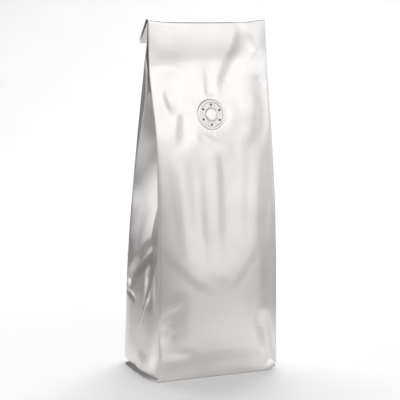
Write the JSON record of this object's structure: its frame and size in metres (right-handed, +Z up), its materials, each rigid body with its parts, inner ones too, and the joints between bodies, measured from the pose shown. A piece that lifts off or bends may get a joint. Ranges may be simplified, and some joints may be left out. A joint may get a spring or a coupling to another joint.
{
  "type": "gusseted coffee bag",
  "caption": "Filled side-gusset coffee bag of silver metallised film, standing on its flat base, top folded over to the back, with a round one-way valve on the front.",
  "frame": {"origin": "centre of the bounding box at the base", "axes": "+Z up, front panel with the valve towards -Y, +X to the right seen from the front"},
  "size_m": [0.0904, 0.0646, 0.2194],
  "materials": {
    "film": "satin metallised film, matt to half gloss, with soft creases",
    "valve": "moulded valve under the same silver film"
  },
  "bodies": {
    "root": {"bag": "film", "valve": "valve"}
  },
  "joints": []
}
